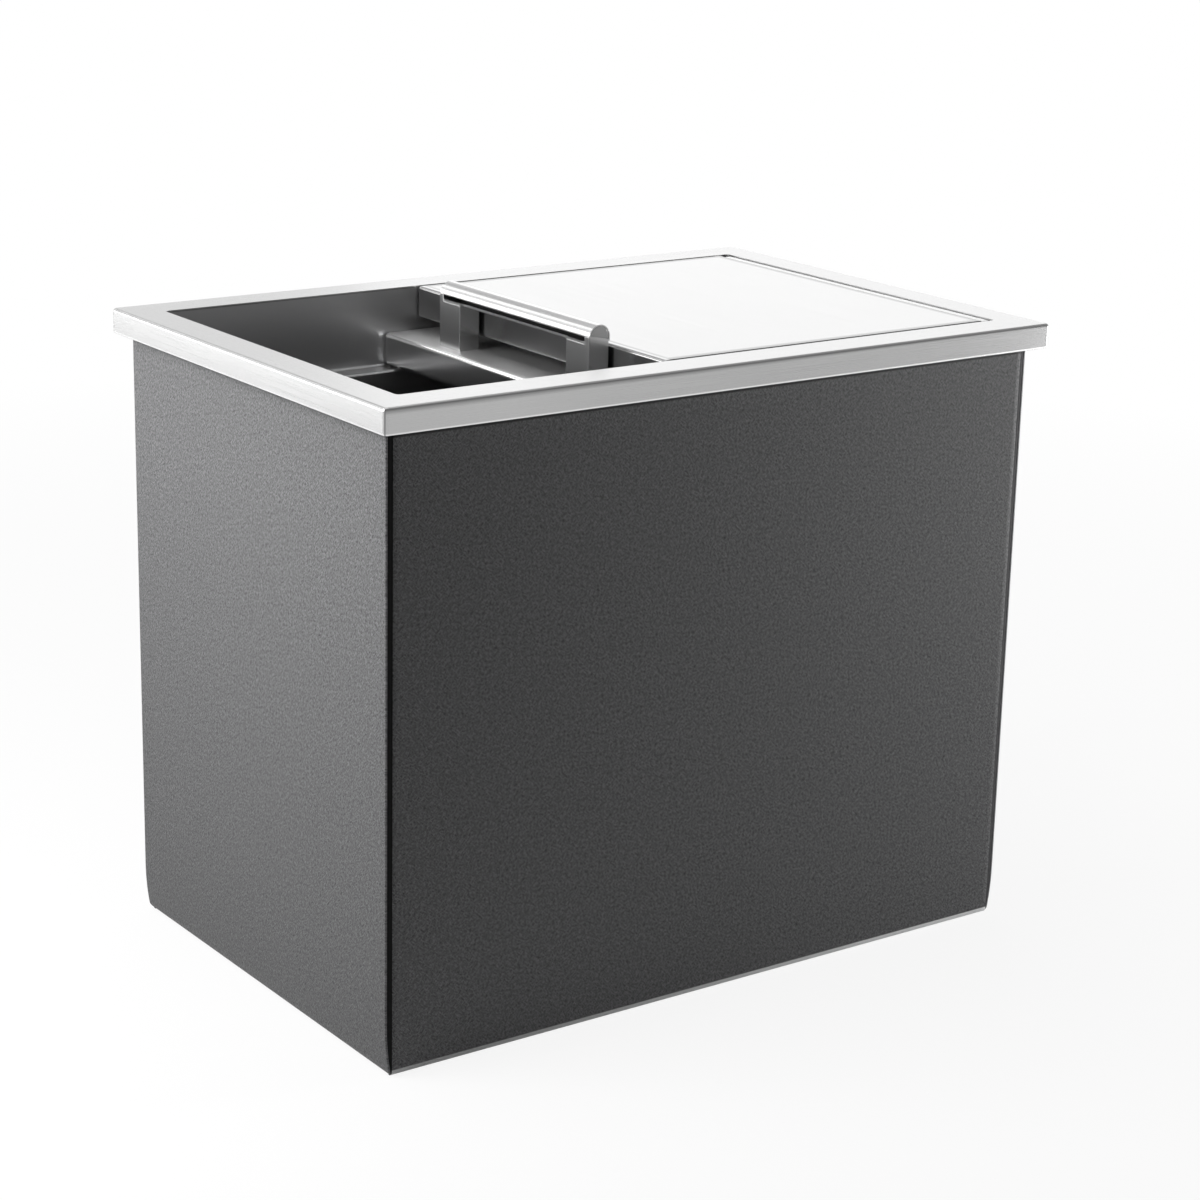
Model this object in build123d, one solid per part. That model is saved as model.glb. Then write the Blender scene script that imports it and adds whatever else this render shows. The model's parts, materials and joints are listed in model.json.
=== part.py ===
from build123d import *
from math import sqrt
import os

# Drop-in ice bin: an insulated steel tub that hangs in a counter by its rim.
# The right half is closed by a flush lift-off cover, the left half by a lower
# cover that slides under it on the tub's ledge and is moved by a grab handle.
# Millimetres. X runs along the long side, Y along the short side, Z up.
# The origin is the centre of the base.

os.makedirs("parts", exist_ok=True)

# Outside of the bin
rim_length = 455.0
rim_width = 305.0
rim_top = 373.0

# Rim, folded from sheet
rim_end_land = 22.0
rim_side_land = 24.0
rim_depth = 14.6
rim_sheet = 1.2
rim_plan_corner = 2.6
rim_bend = 2.0
rim_lower_edge = 0.8
rim_lip = 6.0

# Tub, with the ledge that the lower cover runs on
tub_sheet = 1.0
opening_corner = 2.6
ledge_drop = 47.5
ledge_width = 14.0
ledge_edge = 1.2
well_corner = 24.0
floor_bend = 14.0
floor_height = 33.0
flange_gap = 2.0

# Outer casing: a wrap of one sheet and two end panels, with a filled seam
casing_end_inset = 7.5
casing_side_inset = 11.0
casing_sheet = 0.8
casing_bend = 5.0
casing_edge = 1.4
seam_width = 3.0
seam_recess = 0.4
end_flange = 18.0

# Insulation, poured between tub and casing and inside both covers
foam_gap = 0.2

# Melt water drain
drain_end_distance = 107.5
dish_radius = 40.0
dish_slope = 3.0
dish_depth = 3.5
drain_flange_radius = 24.0
drain_flange = 2.0
gasket_sheet = 1.5
thread_radius = 16.6
thread_show = 1.0
hose_radius = 15.0
hose_length = 9.5
drain_bore = 11.0
seat_radius = 15.0
seat_depth = 6.0
strainer_sheet = 1.0
strainer_slot = 2.0
strainer_bar = 2.4
strainer_border = 3.0
washer_width = 48.0
washer_sheet = 2.0
nut_flats = 46.0
nut_height = 8.0
cup_width = 64.0
cup_wall = 1.5
cup_flange = 9.0
thread_clearance = 0.05

# Rubber plug and its knob
plug_clearance = 0.35
plug_reach = 4.5
plug_lip_radius = 19.5
plug_lip = 3.0
plug_rest = 0.2
knob_radius = 7.5
knob_head = 4.0
knob_rise = 6.0
stem_radius = 3.2
stem_length = 4.5

# Both covers are boxes of folded sheet round a slab of insulation
cover_sheet = 0.8
cover_return = 12.0
cover_plate_fit = 0.2
pad_sheet = 1.0
pad_width = 7.0
lug_sheet = 1.2
lug_reach = 10.0
lug_height = 5.6
lug_length = 40.0
lug_margin = 28.0

# Upper cover, which lifts off
top_cover_length = 233.0
top_cover_height = 18.7
top_cover_end_gap = 7.2
top_cover_side_gap = 1.2
top_cover_corner = 2.4
top_cover_bend = 1.8

# Lower cover, which slides
slide_cover_length = 200.0
slide_cover_height = 20.0
slide_cover_side_gap = 1.0
slide_cover_corner = 3.4
slide_cover_bend = 2.6
slide_cover_rest = 0.2
handle_setback = 8.2

# Grab handle on the lower cover
handle_cover_gap = 1.7
handle_width = 154.0
post_width = 22.0
post_depth = 14.0
post_rise = 0.9
cheek_width = 4.0
post_edge = 0.4
rail_sheet = 1.3
rail_setback = 0.4
rail_notch = 1.4
web_depth = 5.4
grip_depth = 12.0
grip_back_gap = 0.2
grip_top_rise = 12.0
grip_front_rise = 5.1
grip_back_rise = 2.3
cap_margin = 0.6
cap_sheet = 1.0
bolt_radius = 2.0
bolt_setback = 3.1
bolt_clearance = 0.1
bolt_bite = 5.5
bolt_head_flats = 7.0
bolt_head = 2.6
backing_sheet = 3.0
backing_margin = 6.0

# Planes and faces that several pieces share
opening_length = rim_length - 2 * rim_end_land
opening_width = rim_width - 2 * rim_side_land
rim_underside = rim_top - rim_sheet
ledge_top = rim_top - ledge_drop
well_length = opening_length - 2 * ledge_width
well_width = opening_width - 2 * ledge_width
casing_length = rim_length - 2 * casing_end_inset
casing_width = rim_width - 2 * casing_side_inset
flange_inset = 2 * casing_sheet + flange_gap
drain_x = drain_end_distance - rim_length / 2
cove_cut = (2 - sqrt(2)) * floor_bend
dish_floor = floor_height - dish_depth
dish_underside = dish_floor - tub_sheet
drain_top = dish_floor + gasket_sheet + drain_flange
seat_low = drain_top - seat_depth
washer_underside = dish_underside - washer_sheet
nut_underside = washer_underside - nut_height
thread_end = nut_underside - thread_show
hose_end = thread_end - hose_length

top_cover_back = opening_length / 2 - top_cover_end_gap
top_cover_front = top_cover_back - top_cover_length
top_cover_width = opening_width - 2 * top_cover_side_gap
top_cover_underside = rim_top - top_cover_height
lug_top = top_cover_underside - pad_sheet

slide_cover_underside = ledge_top + slide_cover_rest + pad_sheet
slide_cover_top = slide_cover_underside + slide_cover_height
slide_cover_width = opening_width - 2 * slide_cover_side_gap

post_back = top_cover_front - handle_cover_gap
post_front = post_back - post_depth
post_top = rim_top + post_rise
slide_cover_front = post_front - handle_setback
slide_cover_middle = slide_cover_front + slide_cover_length / 2
grip_back = post_back - grip_back_gap
grip_front = grip_back - grip_depth
grip_radius = grip_depth / 2
grip_spring = rim_top + grip_top_rise - grip_radius
bolt_x = post_back - bolt_setback
bolt_y = (handle_width - post_width) / 2
bolt_hole = bolt_radius + bolt_clearance
backing_top = slide_cover_top - cover_sheet
backing_underside = backing_top - backing_sheet
beyond = 5.0


# Box between six planes
def slab(x_low, x_high, y_low, y_high, z_low, z_high):
    middle = Pos((x_low + x_high) / 2, (y_low + y_high) / 2, (z_low + z_high) / 2)
    return middle * Box(x_high - x_low, y_high - y_low, z_high - z_low)


# Upright prism with rounded plan corners, standing on a plane
def prism(length, width, corner, z_low, z_high):
    return Pos(0, 0, z_low) * extrude(RectangleRounded(length, width, corner), z_high - z_low)


# Upright cylinder over the drain
def drain_rod(radius, z_low, z_high):
    return Pos(drain_x, 0, (z_low + z_high) / 2) * Cylinder(radius, z_high - z_low)


# Upright square block over the drain
def drain_square(width, z_low, z_high):
    return slab(drain_x - width / 2, drain_x + width / 2, -width / 2, width / 2, z_low, z_high)


# Turned piece over the drain, from points of radius and height
def drain_turned(points):
    outline = Plane.XZ * make_face(Polyline(*points, close=True))
    return Pos(drain_x, 0, 0) * revolve(outline, Axis.Z)


# Solid that takes in a set of signs, such as the two ends of a pair
def pair_of(make):
    return Compound(children=[make(-1), make(1)])


def save(shape, node):
    export_step(shape, f"parts/{node}.step")


# Folded rim: flat land, skirt, and a lip turned in under the skirt
def rim_frame():
    skirt_foot = rim_top - rim_depth
    body = prism(rim_length, rim_width, rim_plan_corner, skirt_foot, rim_top)
    body = fillet(body.faces().sort_by(Axis.Z)[-1].edges(), rim_bend)
    body = chamfer(body.faces().sort_by(Axis.Z)[0].edges(), rim_lower_edge)
    inner_length = rim_length / 2 - rim_sheet
    inner_width = rim_width / 2 - rim_sheet
    hollow = slab(-inner_length, inner_length, -inner_width, inner_width, skirt_foot + rim_sheet, rim_underside)
    hollow = chamfer(hollow.edges().filter_by(Axis.Z), rim_sheet)
    foot_length = rim_length / 2 - rim_lip
    foot_width = rim_width / 2 - rim_lip
    foot = slab(-foot_length, foot_length, -foot_width, foot_width, skirt_foot - beyond, skirt_foot + 2 * rim_sheet)
    mouth = prism(opening_length, opening_width, opening_corner, rim_underside - beyond, rim_top + beyond)
    return body - hollow - foot - mouth


# Drain dish pressed into the floor, grown outwards and downwards by a thickness
def dish_form(grow):
    low = dish_floor - grow
    return drain_turned([(0, low), (dish_radius - dish_slope + grow, low),
                         (dish_radius + grow, floor_height), (0, floor_height)])


# Space inside the well, with its coved floor and the dish
def well_form(top):
    well = prism(well_length, well_width, well_corner, floor_height, top)
    well = fillet(well.faces().sort_by(Axis.Z)[0].edges(), floor_bend)
    return well + dish_form(0)


# Drawn well: its own flange is the ledge that the lower cover runs on
def tub_well():
    half_length = opening_length / 2 + tub_sheet
    half_width = opening_width / 2 + tub_sheet
    ledge = slab(-half_length, half_length, -half_width, half_width, ledge_top - tub_sheet, ledge_top)
    outside = prism(well_length + 2 * tub_sheet, well_width + 2 * tub_sheet, well_corner + tub_sheet,
                    floor_height - tub_sheet, ledge_top - tub_sheet / 2)
    outside = chamfer(outside.faces().sort_by(Axis.Z)[0].edges(), cove_cut)
    tub = ledge + outside + dish_form(tub_sheet) - well_form(rim_top)
    mouth = tub.faces().sort_by(Axis.Z)[-1].inner_wires()[0]
    tub = chamfer(mouth.edges(), ledge_edge)
    return tub - drain_rod(thread_radius + thread_clearance, dish_underside - beyond, dish_floor + beyond)


# Upper walls of the tub, welded on the ledge, with a flange under the rim
def tub_collar():
    flange_length = casing_length / 2 - flange_inset
    flange_width = casing_width / 2 - flange_inset
    wall_length = opening_length / 2 + tub_sheet
    wall_width = opening_width / 2 + tub_sheet
    collar = slab(-wall_length, wall_length, -wall_width, wall_width, ledge_top, rim_underside)
    collar = collar + slab(-flange_length, flange_length, -flange_width, flange_width,
                           rim_underside - tub_sheet, rim_underside)
    return collar - prism(opening_length, opening_width, opening_corner, 0, rim_top)


# Casing outline with rounded lower long edges, inset all round but open above
def casing_block(inset, length, top):
    block = slab(-length / 2, length / 2, inset - casing_width / 2, casing_width / 2 - inset, inset, top)
    lower = block.edges().filter_by(Axis.X).sort_by(Axis.Z)[:2]
    return fillet(lower, casing_bend - inset)


# Front, bottom and back of the casing in one bent sheet
def casing_wrap():
    length = casing_length - 2 * (casing_edge + seam_width)
    sheet = casing_block(0, length, rim_underside) - casing_block(casing_sheet, length + beyond, rim_top)
    return sheet - drain_square(cup_width, -beyond, beyond)


# End panel with rolled edges and a flange that the wrap lies on
def casing_end(side):
    outer = casing_block(0, casing_length, rim_underside)
    face = outer.faces().sort_by(Axis.X)[0]
    rolled = face.edges().filter_by_position(Axis.Z, 0, rim_underside - beyond)
    outer = chamfer(rolled + face.edges().filter_by(Axis.Z), casing_edge)
    inner = casing_block(casing_sheet, casing_length - 2 * casing_sheet, rim_top)
    end_x = -casing_length / 2
    half_width = casing_width
    skin = (outer - inner) & slab(end_x, end_x + casing_edge, -half_width, half_width, 0, rim_top)
    ring = casing_block(casing_sheet, casing_length, rim_underside)
    ring = ring - casing_block(2 * casing_sheet, casing_length + beyond, rim_top)
    ring = ring & slab(end_x + casing_sheet, end_x + end_flange, -half_width, half_width, 0, rim_top)
    panel = skin + ring
    return panel if side < 0 else mirror(panel, Plane.YZ)


# Dark bead of sealant in the seam between one end panel and the wrap
def seam_bead(side):
    bead = casing_block(seam_recess, casing_length, rim_underside)
    bead = bead - casing_block(casing_sheet, casing_length + beyond, rim_top)
    near_edge = casing_length / 2 - casing_edge
    low, high = sorted((side * near_edge, side * (near_edge - seam_width)))
    return bead & slab(low, high, -casing_width, casing_width, 0, rim_top)


# Insulation between the tub and the casing, round the drain cup
def foam_insulation():
    inset = 2 * casing_sheet + foam_gap
    top = rim_underside - tub_sheet - foam_gap
    grow = tub_sheet + foam_gap
    half_length = casing_length / 2 - casing_sheet - foam_gap
    half_width = casing_width / 2 - inset
    block = slab(-half_length, half_length, -half_width, half_width, inset, top)
    block = chamfer(block.edges().filter_by(Axis.X).sort_by(Axis.Z)[:2], casing_bend)
    well = prism(well_length + 2 * grow, well_width + 2 * grow, well_corner, floor_height - grow, rim_top)
    block = block - chamfer(well.faces().sort_by(Axis.Z)[0].edges(), cove_cut)
    collar_length = opening_length / 2 + grow
    collar_width = opening_width / 2 + grow
    block = block - slab(-collar_length, collar_length, -collar_width, collar_width,
                         ledge_top - grow, rim_top)
    block = block - drain_square(2 * (dish_radius + grow), dish_underside - foam_gap, floor_height)
    block = block - drain_square(cup_width + 2 * (cup_wall + foam_gap), 0, floor_height)
    return block - drain_square(cup_width + 2 * (cup_flange + foam_gap), 0, casing_sheet + cup_wall + foam_gap)


# Square sleeve that keeps the foam off the drain nut, flanged on the casing floor
def drain_cup():
    sleeve = drain_square(cup_width + 2 * cup_wall, casing_sheet, dish_underside)
    sleeve = sleeve + drain_square(cup_width + 2 * cup_flange, casing_sheet, casing_sheet + cup_wall)
    return sleeve - drain_square(cup_width, -beyond, rim_top)


# Turned drain: flange, seat for the plug, thread for the nut, and hose tail
def drain_body():
    return drain_turned([(drain_bore, hose_end), (hose_radius, hose_end), (hose_radius, thread_end),
                         (thread_radius, thread_end), (thread_radius, drain_top - drain_flange),
                         (drain_flange_radius, drain_top - drain_flange), (drain_flange_radius, drain_top),
                         (seat_radius, drain_top), (seat_radius, seat_low), (drain_bore, seat_low)])


def drain_gasket():
    ring = drain_rod(drain_flange_radius, dish_floor, dish_floor + gasket_sheet)
    return ring - drain_rod(thread_radius + thread_clearance, 0, floor_height + beyond)


# Square plate washer that spreads the nut's pull over the thin floor
def drain_washer():
    plate = drain_square(washer_width, washer_underside, dish_underside)
    return plate - drain_rod(thread_radius + thread_clearance, 0, floor_height)


def drain_locknut():
    nut = extrude(RegularPolygon(nut_flats / 2, 6, major_radius=False), nut_height)
    nut = Pos(drain_x, 0, nut_underside) * nut
    return nut - drain_rod(thread_radius + thread_clearance, 0, floor_height)


# Slotted disc that drops on the step under the plug's seat
def drain_strainer():
    radius = seat_radius - thread_clearance
    disc = drain_rod(radius, seat_low, seat_low + strainer_sheet)
    pitch = strainer_slot + strainer_bar
    inner = radius - strainer_border
    steps = int(inner / pitch)
    for step in range(-steps, steps + 1):
        place = step * pitch
        half = sqrt(inner ** 2 - place ** 2)
        disc = disc - slab(drain_x + place - strainer_slot / 2, drain_x + place + strainer_slot / 2, -half, half,
                           seat_low - beyond, drain_top)
    return disc


# Rubber plug with a lip that rests on the drain's flange
def drain_plug():
    foot_radius = seat_radius - plug_clearance
    lip_low = drain_top + plug_rest
    lip_top = lip_low + plug_lip
    plug = drain_rod(foot_radius, drain_top - plug_reach, lip_top) + drain_rod(plug_lip_radius, lip_low, lip_top)
    return plug - drain_rod(stem_radius + thread_clearance, lip_top - stem_length, rim_top)


# Turned knob with a stem set in the plug
def plug_knob():
    plug_top = drain_top + plug_rest + plug_lip
    head_low = plug_top + knob_rise
    return drain_turned([(0, plug_top - stem_length), (stem_radius, plug_top - stem_length),
                         (stem_radius, head_low), (knob_radius, head_low),
                         (knob_radius, head_low + knob_head), (0, head_low + knob_head)])


# Angle lugs on the long walls that carry the upper cover
def lug(x_low, side):
    wall = opening_width / 2
    leg = slab(x_low, x_low + lug_length, wall - lug_reach, wall, lug_top - lug_sheet, lug_top)
    leg = leg + slab(x_low, x_low + lug_length, wall - lug_sheet, wall, lug_top - lug_height, lug_top)
    return leg if side > 0 else mirror(leg, Plane.XZ)


def lug_starts():
    return (top_cover_front + lug_margin, top_cover_back - lug_margin - lug_length)


def cover_lugs():
    return Compound(children=[lug(x_low, side) for x_low in lug_starts() for side in (-1, 1)])


# Nylon pads under the upper cover, one over each lug
def top_cover_pads():
    outer = top_cover_width / 2 - top_cover_bend - cover_sheet
    pads = []
    for x_low in lug_starts():
        for side in (-1, 1):
            low, high = sorted((side * outer, side * (outer - pad_width)))
            pads.append(slab(x_low, x_low + lug_length, low, high, lug_top, top_cover_underside))
    return Compound(children=pads)


# Cover shell: top with rolled edges, four sides, and a return turned in round the underside
def cover_shell(length, width, corner, bend, z_low, z_high):
    shell = prism(length, width, corner, z_low, z_high)
    shell = fillet(shell.faces().sort_by(Axis.Z)[-1].edges(), bend)
    shell = chamfer(shell.faces().sort_by(Axis.Z)[0].edges(), cover_sheet)
    half_length = length / 2 - cover_sheet
    half_width = width / 2 - cover_sheet
    inside = slab(-half_length, half_length, -half_width, half_width, z_low + cover_sheet, z_high - cover_sheet)
    inside = chamfer(inside.edges().filter_by(Axis.Z), corner - cover_sheet)
    inside = chamfer(inside.faces().sort_by(Axis.Z)[-1].edges(), bend - cover_sheet)
    foot_length = length / 2 - cover_return
    foot_width = width / 2 - cover_return
    foot = slab(-foot_length, foot_length, -foot_width, foot_width, z_low - beyond, z_low + 2 * cover_sheet)
    return shell - inside - foot


# Flat plate that closes a cover from inside, on the return
def cover_plate(length, width, bend, z_low):
    half_length = length / 2 - bend - cover_plate_fit
    half_width = width / 2 - bend - cover_plate_fit
    foot = z_low + cover_sheet
    return slab(-half_length, half_length, -half_width, half_width, foot, foot + cover_sheet)


# Slab of insulation inside a cover
def cover_foam(length, width, corner, bend, z_low, z_high):
    half_length = length / 2 - bend
    half_width = width / 2 - bend
    filling = slab(-half_length, half_length, -half_width, half_width,
                   z_low + 2 * cover_sheet + foam_gap, z_high - cover_sheet - foam_gap)
    return chamfer(filling.edges().filter_by(Axis.Z), corner - cover_sheet)


def top_cover_place():
    return Pos((top_cover_front + top_cover_back) / 2, 0, 0)


def top_cover_shell():
    return top_cover_place() * cover_shell(top_cover_length, top_cover_width, top_cover_corner, top_cover_bend,
                                           top_cover_underside, rim_top)


def top_cover_base():
    return top_cover_place() * cover_plate(top_cover_length, top_cover_width, top_cover_bend, top_cover_underside)


def top_cover_foam():
    return top_cover_place() * cover_foam(top_cover_length, top_cover_width, top_cover_corner, top_cover_bend,
                                          top_cover_underside, rim_top)


# Upright cylinders at the two handle bolts
def bolt_rods(radius, z_low, z_high):
    rod = Cylinder(radius, z_high - z_low)
    return [Pos(bolt_x, side * bolt_y, (z_low + z_high) / 2) * rod for side in (-1, 1)]


def bored(shape, radius, z_low, z_high):
    for rod in bolt_rods(radius, z_low, z_high):
        shape = shape - rod
    return shape


def slide_cover_shell():
    shell = Pos(slide_cover_middle, 0, 0) * cover_shell(
        slide_cover_length, slide_cover_width, slide_cover_corner, slide_cover_bend,
        slide_cover_underside, slide_cover_top)
    return bored(shell, bolt_hole, backing_top - cover_sheet, slide_cover_top + beyond)


def slide_cover_base():
    return Pos(slide_cover_middle, 0, 0) * cover_plate(
        slide_cover_length, slide_cover_width, slide_cover_bend, slide_cover_underside)


def slide_cover_foam():
    foam = Pos(slide_cover_middle, 0, 0) * cover_foam(
        slide_cover_length, slide_cover_width, slide_cover_corner, slide_cover_bend,
        slide_cover_underside, slide_cover_top)
    foam = foam - backing_block(foam_gap, backing_underside - foam_gap)
    half = bolt_head_flats / sqrt(3) + foam_gap
    for side in (-1, 1):
        place = side * bolt_y
        foam = foam - slab(bolt_x - half, bolt_x + half, place - half, place + half,
                           backing_underside - bolt_head - foam_gap, slide_cover_top)
    return foam


# Nylon strips under the lower cover that run on the tub's ledge
def slide_cover_glides():
    outer = slide_cover_width / 2 - slide_cover_bend
    ends = slide_cover_corner + slide_cover_bend

    def glide(side):
        low, high = sorted((side * outer, side * (outer - pad_width)))
        return slab(slide_cover_front + ends, slide_cover_front + slide_cover_length - ends, low, high,
                    ledge_top + slide_cover_rest, slide_cover_underside)

    return pair_of(glide)


# Stiffener inside the lower cover, under the handle
def backing_block(grow, z_low):
    half_length = handle_width / 2 + grow
    half_depth = post_depth / 2 + backing_margin + grow
    middle = (post_front + post_back) / 2
    front = max(middle - half_depth, slide_cover_front + slide_cover_bend + foam_gap)
    return slab(front, middle + half_depth, -half_length, half_length, z_low, backing_top)


def backing_plate():
    return bored(backing_block(0, backing_underside), bolt_hole, backing_underside - beyond, backing_top + beyond)


# Height of the grip's sloping underside at a place between front and back
def grip_underside(x):
    slope = (grip_front_rise - grip_back_rise) / grip_depth
    return rim_top + grip_back_rise + slope * (grip_back - x)


# Solid whose outline in X and Z is given by its points, across a span of Y
def across(points, y_low, y_high):
    outline = make_face(Polyline(*points, close=True))
    return extrude(Plane((0, y_high, 0), x_dir=(1, 0, 0), z_dir=(0, -1, 0)) * outline, y_high - y_low)


# Post on the lower cover, with a cheek that closes the finger groove
def handle_post(side):
    outer = handle_width / 2
    post = slab(post_front, post_back, outer - post_width, outer, slide_cover_top, post_top)
    post = chamfer(post.edges().filter_by(Axis.Z), post_edge)
    front = post_front + post_edge
    back = post_back - post_edge
    cheek = across([(front, post_top), (front, grip_underside(front)), (back, grip_underside(back)), (back, post_top)],
                   outer - cheek_width, outer)
    post = post + cheek
    post = post if side > 0 else mirror(post, Plane.XZ)
    return bored(post, bolt_hole, slide_cover_top - beyond, rim_top + beyond)


# Rail between the cheeks, with a web at the back that carries the grip
def handle_rail():
    half = handle_width / 2 - cheek_width
    front = post_front + rail_setback
    web_front = grip_back - web_depth
    rail_top = post_top + rail_sheet
    rail = across([(front, post_top), (front, rail_top), (web_front, rail_top),
                   (web_front, grip_underside(web_front)), (grip_back, grip_underside(grip_back)),
                   (grip_back, post_top)], -half, half)
    between = handle_width / 2 - post_width
    notch = slab(front, front + rail_notch, -between, between, post_top, rail_top)
    return bored(rail - notch, bolt_hole, post_top - beyond, rim_top + grip_top_rise)


# Grip outline: an arch over straight sides on a sloping underside
def grip_outline():
    middle = (grip_front + grip_back) / 2
    edges = [Line((grip_back, grip_spring), (grip_back, grip_underside(grip_back))),
             Line((grip_back, grip_underside(grip_back)), (grip_front, grip_underside(grip_front))),
             Line((grip_front, grip_underside(grip_front)), (grip_front, grip_spring)),
             ThreePointArc((grip_front, grip_spring), (middle, grip_spring + grip_radius), (grip_back, grip_spring))]
    return make_face(edges)


def grip_run(outline, y_low, y_high):
    return extrude(Plane((0, y_high, 0), x_dir=(1, 0, 0), z_dir=(0, -1, 0)) * outline, y_high - y_low)


def handle_grip():
    half = handle_width / 2
    grip = grip_run(grip_outline(), -half, half)
    pocket = offset(grip_outline(), -cap_margin)
    grip = grip - grip_run(pocket, half - cap_sheet, half + beyond)
    grip = grip - grip_run(pocket, -half - beyond, cap_sheet - half)
    return bored(grip, bolt_radius + thread_clearance, rim_top, post_top + bolt_bite + thread_clearance)


# Flat plates let into the grip's ends
def handle_end_caps():
    half = handle_width / 2
    plate = offset(grip_outline(), -cap_margin)
    return Compound(children=[grip_run(plate, half - cap_sheet, half), grip_run(plate, -half, cap_sheet - half)])


# Hexagon bolts from inside the cover, up through each post into the grip
def handle_bolts():
    head = extrude(RegularPolygon(bolt_head_flats / 2, 6, major_radius=False), bolt_head)
    shanks = bolt_rods(bolt_radius, backing_underside - bolt_head, post_top + bolt_bite)
    return Compound(children=[Pos(bolt_x, side * bolt_y, backing_underside - bolt_head) * head + shank
                              for side, shank in zip((-1, 1), shanks)])


save(rim_frame(), "rim_frame")
save(tub_collar(), "tub_collar")
save(tub_well(), "tub_well")
save(casing_wrap(), "casing_wrap")
save(casing_end(-1), "casing_end_left")
save(casing_end(1), "casing_end_right")
save(pair_of(seam_bead), "casing_seam_seals")
save(foam_insulation(), "foam_insulation")
save(drain_cup(), "drain_cup")
save(drain_body(), "drain_body")
save(drain_gasket(), "drain_gasket")
save(drain_washer(), "drain_washer")
save(drain_locknut(), "drain_locknut")
save(drain_strainer(), "drain_strainer")
save(drain_plug(), "drain_plug")
save(plug_knob(), "plug_knob")
save(cover_lugs(), "cover_lugs")
save(top_cover_shell(), "top_cover_shell")
save(top_cover_base(), "top_cover_base")
save(top_cover_foam(), "top_cover_foam")
save(top_cover_pads(), "top_cover_pads")
save(slide_cover_shell(), "slide_cover_shell")
save(slide_cover_base(), "slide_cover_base")
save(slide_cover_foam(), "slide_cover_foam")
save(slide_cover_glides(), "slide_cover_glides")
save(backing_plate(), "handle_backing_plate")
save(handle_post(-1), "handle_post_near")
save(handle_post(1), "handle_post_far")
save(handle_rail(), "handle_rail")
save(handle_grip(), "handle_grip")
save(handle_end_caps(), "handle_end_caps")
save(handle_bolts(), "handle_bolts")
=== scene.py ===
import bpy
import bmesh
import json
from math import radians, sin, cos, sqrt
from mathutils import Matrix, Vector

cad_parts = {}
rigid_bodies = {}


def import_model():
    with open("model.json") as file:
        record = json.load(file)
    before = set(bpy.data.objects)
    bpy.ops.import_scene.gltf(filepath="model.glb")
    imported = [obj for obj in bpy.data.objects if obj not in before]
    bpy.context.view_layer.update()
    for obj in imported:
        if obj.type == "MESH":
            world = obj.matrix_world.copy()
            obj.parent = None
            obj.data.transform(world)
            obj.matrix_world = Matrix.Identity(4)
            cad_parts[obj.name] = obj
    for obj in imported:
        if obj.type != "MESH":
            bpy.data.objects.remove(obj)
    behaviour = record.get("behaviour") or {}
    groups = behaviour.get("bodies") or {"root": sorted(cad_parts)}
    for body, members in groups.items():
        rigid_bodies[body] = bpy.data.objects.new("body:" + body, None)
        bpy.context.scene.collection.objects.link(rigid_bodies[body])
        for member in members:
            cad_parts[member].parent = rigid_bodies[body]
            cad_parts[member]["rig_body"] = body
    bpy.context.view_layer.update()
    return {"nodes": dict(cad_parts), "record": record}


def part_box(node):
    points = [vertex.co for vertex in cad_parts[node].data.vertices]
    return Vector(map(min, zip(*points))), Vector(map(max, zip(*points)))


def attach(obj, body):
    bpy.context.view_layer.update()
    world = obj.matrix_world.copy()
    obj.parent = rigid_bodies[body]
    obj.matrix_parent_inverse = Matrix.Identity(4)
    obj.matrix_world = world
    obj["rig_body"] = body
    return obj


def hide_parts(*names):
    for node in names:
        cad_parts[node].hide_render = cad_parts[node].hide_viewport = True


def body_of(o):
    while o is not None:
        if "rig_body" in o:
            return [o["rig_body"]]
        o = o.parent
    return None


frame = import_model()
nodes = frame["nodes"]
mm = 0.001
print("ice bin: frame loaded,", len(nodes), "nodes")


# Finishes: node trees on the object's own coordinates
def nodeSet(name):
    finish = bpy.data.materials.new(name)
    finish.use_nodes = True
    tree = finish.node_tree
    tree.nodes.clear()
    out = tree.nodes.new("ShaderNodeOutputMaterial")
    shader = tree.nodes.new("ShaderNodeBsdfPrincipled")
    tree.links.new(shader.outputs[0], out.inputs[0])
    return finish, tree, shader


def mapped(tree, scale, turn=(0, 0, 0)):
    place = tree.nodes.new("ShaderNodeTexCoord")
    turner = tree.nodes.new("ShaderNodeMapping")
    turner.inputs["Scale"].default_value = scale
    turner.inputs["Rotation"].default_value = [radians(a) for a in turn]
    tree.links.new(place.outputs["Object"], turner.inputs["Vector"])
    return turner.outputs["Vector"]


def noiseOn(tree, vector, scale, detail=3, rough=0.6):
    noise = tree.nodes.new("ShaderNodeTexNoise")
    noise.inputs["Scale"].default_value = scale
    noise.inputs["Detail"].default_value = detail
    noise.inputs["Roughness"].default_value = rough
    tree.links.new(vector, noise.inputs["Vector"])
    return noise.outputs["Fac"]


def ranged(tree, value, low, high, fromLow=0.3, fromHigh=0.7):
    node = tree.nodes.new("ShaderNodeMapRange")
    node.inputs["From Min"].default_value = fromLow
    node.inputs["From Max"].default_value = fromHigh
    node.inputs["To Min"].default_value = low
    node.inputs["To Max"].default_value = high
    tree.links.new(value, node.inputs["Value"])
    return node.outputs["Result"]


def maths(tree, kind, a, b=None):
    node = tree.nodes.new("ShaderNodeMath")
    node.operation = kind
    for socket, value in zip(node.inputs, (a, b)):
        if value is None:
            continue
        if isinstance(value, (int, float)):
            socket.default_value = value
        else:
            tree.links.new(value, socket)
    return node.outputs[0]


def mixed(tree, value, a, b):
    node = tree.nodes.new("ShaderNodeMix")
    tree.links.new(value, node.inputs["Factor"])
    tree.links.new(a, node.inputs["A"])
    tree.links.new(b, node.inputs["B"])
    return node.outputs["Result"]


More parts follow.
